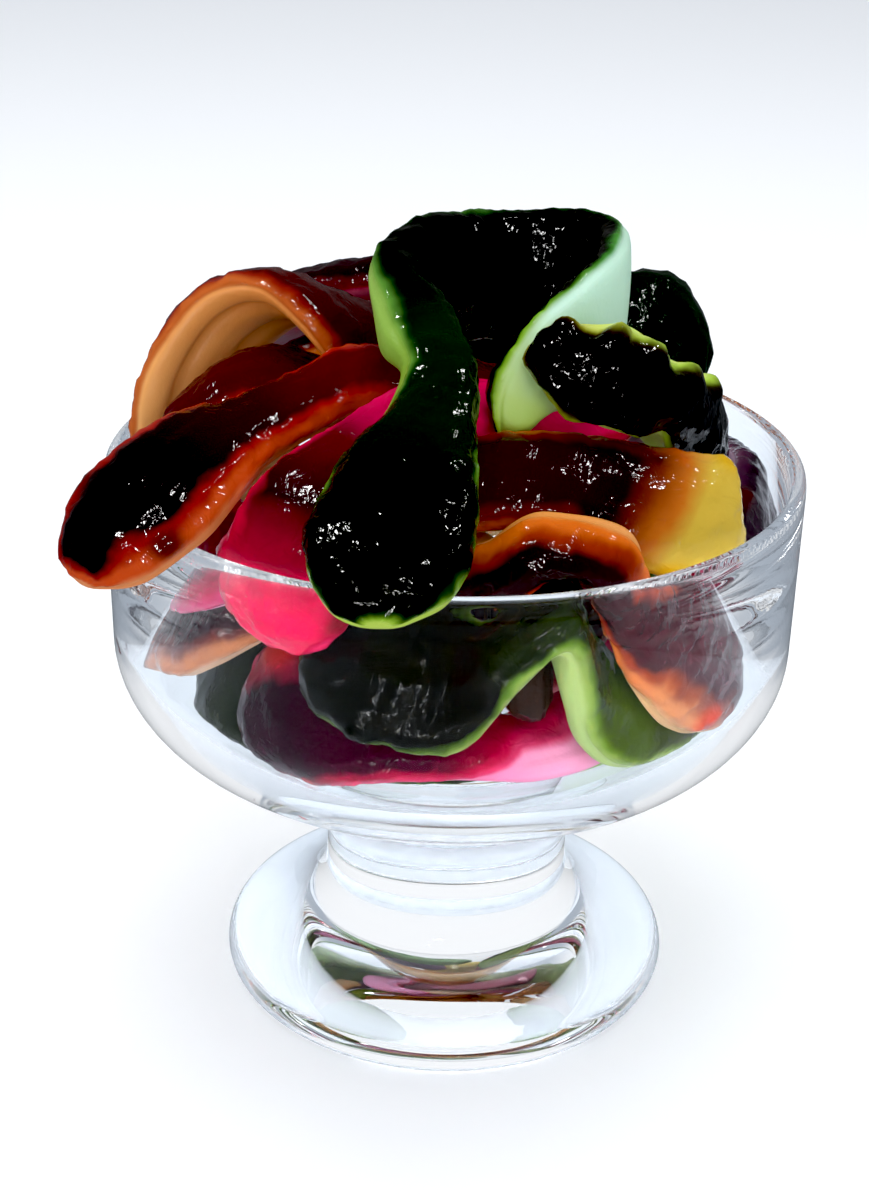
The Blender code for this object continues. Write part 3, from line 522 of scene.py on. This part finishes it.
# For each snake: a point near its nose in millimetres, the way its back faces there, its slot,
# whether it shows a head with eyes, and its tones. A tone gives colours at shares of the snake's
# length from the nose. Zones are how far round from the back the thin jelly, the edge and the foam
# start. Lean is how far round the back has twisted, as pairs of a share of the length and a share
# of a turn. Crease is how deep the belly is folded, scallop how high the edge waves, and blunt how
# far from the nose a rounded head reaches its full width, all in millimetres.
SNAKES = {
    "green_front": ((-11, -69, 102), (0.0, -0.6, 0.8), "green_jelly", True, dict(
        thick="0.0:090a04 0.16:0a0b05 0.24:0e1a08 0.34:0e1c0a 0.42:060a04 0.55:040302 "
              "0.8:080803 1.0:141404",
        thin="0.0:22400e 0.3:1c4412 0.45:0e2408 0.8:1c4a14 1.0:5a8a1a",
        edge="0.0:7ea428 0.3:5a8a34 0.6:3c6a28 0.8:4a8a3a 1.0:9abc30",
        foam="0.0:a8c050 0.3:7a9a34 0.42:86a84c 0.55:5a8a48 "
             "0.75:b4d8c0 0.88:bfe0cc 0.95:b4d070 1.0:a4c83c",
        eye="0a0a06", zones=(0.36, 0.40, 0.46),
        lean=(0.0, 0.0, 0.22, 0.0, 0.36, -0.17, 1.0, -0.17))),
    "green_arch": ((4, 47, 100), (0.0, 0.5, 0.85), "green_jelly", True, dict(
        thick="0.0:0a160a 1.0:0a180a", thin="0.0:1a4018 1.0:163a16", edge="0.0:2e6424 1.0:265a22",
        foam="0.0:4a7a48 1.0:3a6a3c", lean=(0.0, -0.2))),
    "green_wavy": ((9, 47, 106), (0.3, 0.6, 0.75), "green_jelly", True, dict(
        thick="0.0:050604 1.0:080403", thin="0.0:18280a 1.0:281804",
        edge="0.0:8aa834 0.8:9ab840 1.0:8a7a20", foam="0.0:b8cc60 0.9:c0d468 1.0:a89a40",
        zones=(0.27, 0.33, 0.42), lean=(0.0, 0.15), scallop=1.1)),
    "yellow_head": ((42, -31, 91.5), (0.35, -0.8, 0.5), "yellow_jelly", True, dict(
        thick="0.0:c4a848 0.17:c0a03c 0.20:b06020 0.24:6a2410 0.27:1c0408 0.5:32060c 1.0:2a060a",
        thin="0.0:c8ac48 0.17:c4a440 0.21:b4581c 0.25:3a0a08 0.36:5a1010 0.6:7a1a10 1.0:7a1a10",
        edge="0.0:d0b854 0.17:cca444 0.22:b8581c 0.27:5a1810 0.36:a84818 0.5:c0581c 1.0:cc8038",
        foam="0.0:e0cc70 0.2:dcb060 0.4:d08840 1.0:d09850", eye="c49a1c",
        zones=(0.20, 0.30, 0.50), blunt=32.0)),
    "orange_right": ((47, -26.5, 68.5), (0.6, -0.72, 0.3), "orange_jelly", True, dict(
        thick="0.0:3a1a24 0.2:3a1018 0.4:1c0406 1.0:180406",
        thin="0.0:7a4a44 0.2:80381c 0.3:8a2a10 1.0:7a1c0c",
        edge="0.0:b88c70 0.2:bc7448 0.3:c8621e 1.0:c46020",
        foam="0.0:dcb494 0.2:d8a878 0.4:d48a44 1.0:d0904c",
        eye="b8300c", zones=(0.20, 0.29, 0.44),
        lean=(0.0, -0.06, 0.2, -0.05, 0.32, 0.17, 1.0, 0.17))),
    "orange_left": ((-56, -47, 96.5), (-0.45, -0.5, 0.75), "orange_jelly", True, dict(
        thick="0.0:090102 0.2:0c0102 0.35:2a0406 0.5:5a0c10 1.0:3a0808",
        thin="0.0:7a1210 0.4:9a1c14 1.0:8a1812", edge="0.0:b4441e 0.5:bc4c24 1.0:b84220",
        foam="0.0:cc8050 1.0:d08850", eye="4a0a08", zones=(0.17, 0.26, 0.43), lean=(0.0, 0.01))),
    "orange_loop": ((2, 26, 91), (0.0, 0.1, 1.0), "orange_jelly", False, dict(
        thick="0.0:2a0608 0.35:3a0a0a 0.5:54120e 1.0:2a0808", thin="0.0:7a1810 1.0:8a2412",
        edge="0.0:a84a20 0.4:b45a2a 1.0:b86a3a", foam="0.0:d07838 0.4:dc8c48 0.6:e8ac68 1.0:ecc890",
        zones=(0.30, 0.38, 0.52), lean=(0.0, 0.09), crease=1.8)),
    "orange_inner": ((-14, 20, 101), (0.0, 0.1, 1.0), "orange_jelly", False, dict(
        thick="0.0:2a060a 1.0:4a0a10", thin="0.0:7a1810 1.0:8a2010",
        edge="0.0:b84a1c 1.0:b84a1c", foam="0.0:d89058 1.0:d89058", zones=(0.24, 0.30, 0.44))),
    "pink_front": ((-32, -43, 83.5), (-0.45, -0.88, 0.1), "pink_jelly", True, dict(
        thick="0.0:e8164e 0.14:d81248 0.20:9a0c2c 0.26:20040a 0.36:5a0614 "
              "0.46:e81a5c 0.8:f01c60 1.0:8a0c1c",
        thin="0.0:e81850 0.2:c01038 0.3:b00c30 0.46:f01c60 1.0:c01428",
        edge="0.0:f03064 0.5:f02c68 1.0:e02450", foam="0.0:e85080 1.0:f07090", eye="700818",
        zones=(0.22, 0.30, 0.50))),
    "pink_left": ((-51, -7, 84), (-0.6, -0.3, 0.75), "pink_jelly", True, dict(
        thick="0.0:6a0a26 0.3:6a0a24 1.0:3a0614", thin="0.0:a81440 1.0:9a1438",
        edge="0.0:d0306a 1.0:c03a6a", foam="0.0:e888b0 1.0:e088b0", zones=(0.22, 0.32, 0.48))),
    "amber_left": ((-53, 1, 66), (-0.5, -0.3, 0.8), "amber_jelly", True, dict(
        thick="0.0:241018 0.3:2a1018 1.0:200a10", thin="0.0:5a2a28 1.0:6a3028",
        edge="0.0:b87048 1.0:b87850", foam="0.0:dcb090 1.0:dcb494", eye="5a2a18",
        zones=(0.20, 0.28, 0.42))),
    "pink_bottom": ((-35, -32, 57.5), (-0.5, -0.75, 0.45), "pink_jelly", True, dict(
        thick="0.0:240410 0.15:1c0410 0.33:3a081c 0.45:900c28 0.6:800a24 1.0:5a0a20",
        thin="0.0:4a0814 0.3:8a1030 0.45:a41438 1.0:981038",
        edge="0.0:a01c3c 0.4:c03058 1.0:c84a78",
        foam="0.0:a02c48 0.3:c04468 0.4:dc7098 0.5:e494b4 1.0:e494b4", eye="a01810",
        zones=(0.22, 0.31, 0.42), lean=(0.0, -0.04, 0.36, 0.0, 0.46, 0.24, 1.0, 0.24))),
    "green_center": ((-24, -44, 86), (-0.3, -0.5, 0.8), "green_jelly", True, dict(
        thick="0.0:080804 0.18:080602 0.28:1c2a06 0.36:3a4a10 0.46:241608 0.6:30381c 1.0:2a3a1a",
        thin="0.0:262c14 0.2:44601a 0.4:5a7018 0.5:4a5030 1.0:5a7038",
        edge="0.0:6a7a3a 0.2:788c40 0.42:80964a 0.55:74864c 1.0:84a064",
        foam="0.0:9caa70 0.25:98aa64 0.45:a4b67c 0.55:90a470 1.0:a4b890", eye="080804",
        zones=(0.30, 0.36, 0.46), lean=(0.0, -0.06, 0.14, -0.04, 0.24, 0.06, 1.0, 0.06))),
    "dark_middle": ((16, 4, 81), (0.0, 0.0, 1.0), "wine_jelly", False, dict(
        thick="0.0:140a08 0.8:180c08 1.0:2a1a10", thin="0.0:2a140c 1.0:4a3418",
        edge="0.0:4a2a14 1.0:7a6a38", foam="0.0:8a7048 1.0:b0a068")),
    "wine_middle": ((-38, 2, 63), (-0.1, 0.0, 1.0), "wine_jelly", False, dict(
        thick="0.0:1c0408 1.0:1c0408", thin="0.0:4a0a14 1.0:4a0a14",
        edge="0.0:7a1a24 1.0:7a1a24", foam="0.0:b06070 1.0:b06070")),
    "green_floor": ((-6, 47, 62), (-0.1, 0.9, 0.4), "green_jelly", True, dict(
        thick="0.0:10140a 0.6:141a0c 1.0:1c240c", thin="0.0:2a3818 1.0:3a4a1c",
        edge="0.0:5a7030 1.0:6a7a30", foam="0.0:98a868 1.0:98a060")),
    "lime_floor": ((25, -35, 54), (-0.2, 0.3, 0.9), "lime_jelly", False, dict(
        thick="0.0:6a8a3a 0.3:5a7a3a 1.0:5a7a3a", thin="0.0:8aa858 1.0:7a9850",
        edge="0.0:a0c070 1.0:98b870", foam="0.0:bcd49a 1.0:b8d0a0")),
    "plum_wall": ((46.5, -22, 88), (0.8, -0.45, 0.3), "wine_jelly", True, dict(
        thick="0.0:1c0c18 1.0:1c0c18", thin="0.0:3a1a30 1.0:3a1a30",
        edge="0.0:6a4058 1.0:6a4058", foam="0.0:a88aa0 1.0:a88aa0", eye="3a1010")),
    "amber_back": ((-18, 28, 72), (-0.2, 0.6, 0.75), "amber_jelly", False, dict(
        thick="0.0:24100c 1.0:24100c", thin="0.0:6a3420 1.0:6a3420",
        edge="0.0:b87840 1.0:b87840", foam="0.0:dcb080 1.0:dcb080")),
    "crimson_back": ((-8, 51, 93.5), (-0.1, 0.95, 0.3), "pink_jelly", True, dict(
        thick="0.0:1c0206 1.0:1c0206", thin="0.0:7a0c14 1.0:7a0c14",
        edge="0.0:b8202a 1.0:b8202a", foam="0.0:e07080 1.0:e07080")),
    "yellow_back": ((-6, 67, 102), (0.0, 0.6, 0.8), "yellow_jelly", True, dict(
        thick="0.0:ccaa30 0.15:c8a42a 0.22:a84a18 0.34:20060a 1.0:20060a",
        thin="0.0:d0b034 0.2:c0701c 0.35:7a1a10 1.0:7a1a10",
        edge="0.0:d8bc40 0.3:cc6a20 1.0:c86a24", foam="0.0:e0cc70 0.3:e0b068 1.0:d0985c",
        zones=(0.24, 0.34, 0.50))),
    "pink_back": ((-37, 46, 101), (-0.6, 0.6, 0.6), "wine_jelly", True, dict(
        thick="0.0:3a0612 0.3:1c0208 1.0:24040c", thin="0.0:5a0818 1.0:5a0818",
        edge="0.0:8a1428 1.0:8a1428", foam="0.0:c05070 1.0:c05070")),
}

FORMS = ("lean", "crease", "scallop", "blunt")

for number, (name, (tip, back, slot, shows_head, tones)) in enumerate(SNAKES.items()):
    form = {key: tones.pop(key) for key in FORMS if key in tones}
    facing = np.array(back) / np.linalg.norm(back)
    places = turned_to_back(rings_of(name, Vector(tip) * MM), facing)
    skin, length = smooth_skin(places)
    skin, eye, from_back = raise_relief(skin, length, 10 * number, shows_head, **form)
    piece = make_snake("snake_" + name, skin, eye, from_back)
    piece.data.materials.append(jelly("jelly_" + name, **tones))
    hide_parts(name)
    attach(piece, "root")


# ---- The table, the light and the camera ----
# A plain white table in a pale studio, under soft white light. Small bright lamps make the wet
# glints. The camera stands where the photo was taken from, a little above the rim.

# The table is pale to look at. Where it is seen through the glass it has a painted shade, a little
# darker and bluer, and it is dark in mirrors, so that its reflection lays no veil over the jelly.
# It lies just under the foot, and sizes are in metres.
TABLE_WHITE = (0.97, 0.975, 0.985, 1.0)
TABLE_SHADED_THROUGH_GLASS = (0.80, 0.85, 0.91, 1.0)
TABLE_IN_MIRRORS = (0.10, 0.11, 0.12, 1.0)
TABLE_HALF, TABLE_DROP = 3.0, 0.0002


def mirror_ray():
    """1 for rays a shiny surface has thrown back, and 0 for those that came through the glass."""
    path = nodes.new("ShaderNodeLightPath").outputs
    return arithmetic("SUBTRACT", path["Is Glossy Ray"], path["Is Transmission Ray"])


table = bmesh.new()
bmesh.ops.create_grid(table, x_segments=1, y_segments=1, size=TABLE_HALF)
table_mesh = bpy.data.meshes.new("table")
table.to_mesh(table_mesh)
table.free()
table_top = bpy.data.objects.new("table", table_mesh)
table_top.location.z = -TABLE_DROP
bpy.context.scene.collection.objects.link(table_top)
white = bpy.data.materials.new("table_white")
white.use_nodes = True
nodes, links = white.node_tree.nodes, white.node_tree.links
# Seen through the glass, the table takes a painted shade, darker and bluer than its own white.
shaded_through_glass = nodes.new("ShaderNodeLightPath").outputs["Is Transmission Ray"]
tone = blend_colours(shaded_through_glass, TABLE_WHITE, TABLE_SHADED_THROUGH_GLASS)
tone = blend_colours(mirror_ray(), tone, TABLE_IN_MIRRORS)
links.new(tone, nodes["Principled BSDF"].inputs["Base Color"])
nodes["Principled BSDF"].inputs["Roughness"].default_value = 0.6
nodes["Principled BSDF"].inputs["Specular IOR Level"].default_value = 0.1
table_mesh.materials.append(white)

# Each lamp's place and width in metres, its power in watts, and whether it only makes glints.
LAMPS = {
    "soft_above": ((0.0, -0.1, 1.1), 1.2, 7.5, False),
    "soft_left": ((-1.0, -0.5, 0.7), 0.9, 3.0, False),
    "soft_front": ((0.5, -1.2, 0.7), 0.9, 5.0, False),
    "glint_left": ((-0.35, -0.25, 0.75), 0.07, 3.5, True),
    "glint_front": ((0.1, -0.6, 0.6), 0.05, 2.2, True),
    "glint_right": ((0.45, -0.1, 0.7), 0.06, 2.2, True),
    "glint_low_left": ((-0.2, -0.85, 0.30), 0.05, 2.2, True),
    "glint_low_right": ((0.25, -0.75, 0.36), 0.04, 1.4, True),
    "glint_table": ((-0.05, -0.75, 0.14), 0.05, 2.2, True),
}
HEAP_MIDDLE = Vector((0, 0, 0.09))

for name, (place, width, watts, glints) in LAMPS.items():
    lamp = bpy.data.lights.new(name, "AREA")
    lamp.shape = "SQUARE"
    lamp.size = width
    lamp.energy = watts
    fitting = bpy.data.objects.new(name, lamp)
    fitting.location = place
    aim = HEAP_MIDDLE - Vector(place)
    fitting.rotation_euler = aim.to_track_quat("-Z", "Y").to_euler()
    fitting.visible_glossy = fitting.visible_transmission = glints
    fitting.visible_diffuse = not glints
    bpy.context.scene.collection.objects.link(fitting)

# The studio is pale behind the object and wherever the camera sees it, and darker in front, which
# gives the clear glass its dark lines. In mirrors it is dim, as the table is.
STUDIO_DARK = (0.42, 0.47, 0.54, 1.0)
STUDIO_PALE = (0.97, 0.98, 1.0, 1.0)
PALE_FROM, PALE_TO = -0.3, 0.4
DIM_IN_MIRRORS = 0.85

world = bpy.data.worlds.new("studio")
world.use_nodes = True
bpy.context.scene.world = world
nodes, links = world.node_tree.nodes, world.node_tree.links
studio = nodes["Background"].inputs
direction = nodes.new("ShaderNodeSeparateXYZ")
links.new(nodes.new("ShaderNodeTexCoord").outputs["Generated"], direction.inputs["Vector"])
pale = ramp(direction.outputs["Y"], PALE_FROM, PALE_TO)
seen = nodes.new("ShaderNodeLightPath").outputs["Is Camera Ray"]
backdrop = blend_colours(arithmetic("MAXIMUM", pale, seen), STUDIO_DARK, STUDIO_PALE)
links.new(backdrop, studio["Color"])
links.new(arithmetic("MULTIPLY_ADD", mirror_ray(), -DIM_IN_MIRRORS, 1.0), studio["Strength"])

CAMERA_PLACE = (-0.00309, -0.3045, 0.2204)
CAMERA_TILT, CAMERA_ROLL = math.radians(64.19), math.radians(1.08)

camera_data = bpy.data.cameras.new("camera")
camera_data.sensor_fit = "VERTICAL"
camera_data.sensor_height = 36.0
camera_data.lens = 56.61
camera_data.clip_start = 0.01
camera = bpy.data.objects.new("camera", camera_data)
aimed = Matrix.Rotation(CAMERA_TILT, 4, "X") @ Matrix.Rotation(CAMERA_ROLL, 4, "Z")
camera.matrix_world = Matrix.Translation(CAMERA_PLACE) @ aimed
bpy.context.scene.collection.objects.link(camera)
bpy.context.scene.camera = camera

# Light may cross the glass often enough to reach the inside of the heap, and the thickest jelly
# is printed plain black, as in the photo.
CROSSINGS = 40
PLAIN_BLACK = 0.012

light_paths = bpy.context.scene.cycles
light_paths.max_bounces = CROSSINGS
light_paths.glossy_bounces = CROSSINGS
light_paths.transmission_bounces = CROSSINGS
look = bpy.context.scene.view_settings
look.view_transform = "Standard"
look.use_curve_mapping = True
look.curve_mapping.black_level = (PLAIN_BLACK, PLAIN_BLACK, PLAIN_BLACK)
look.curve_mapping.update()
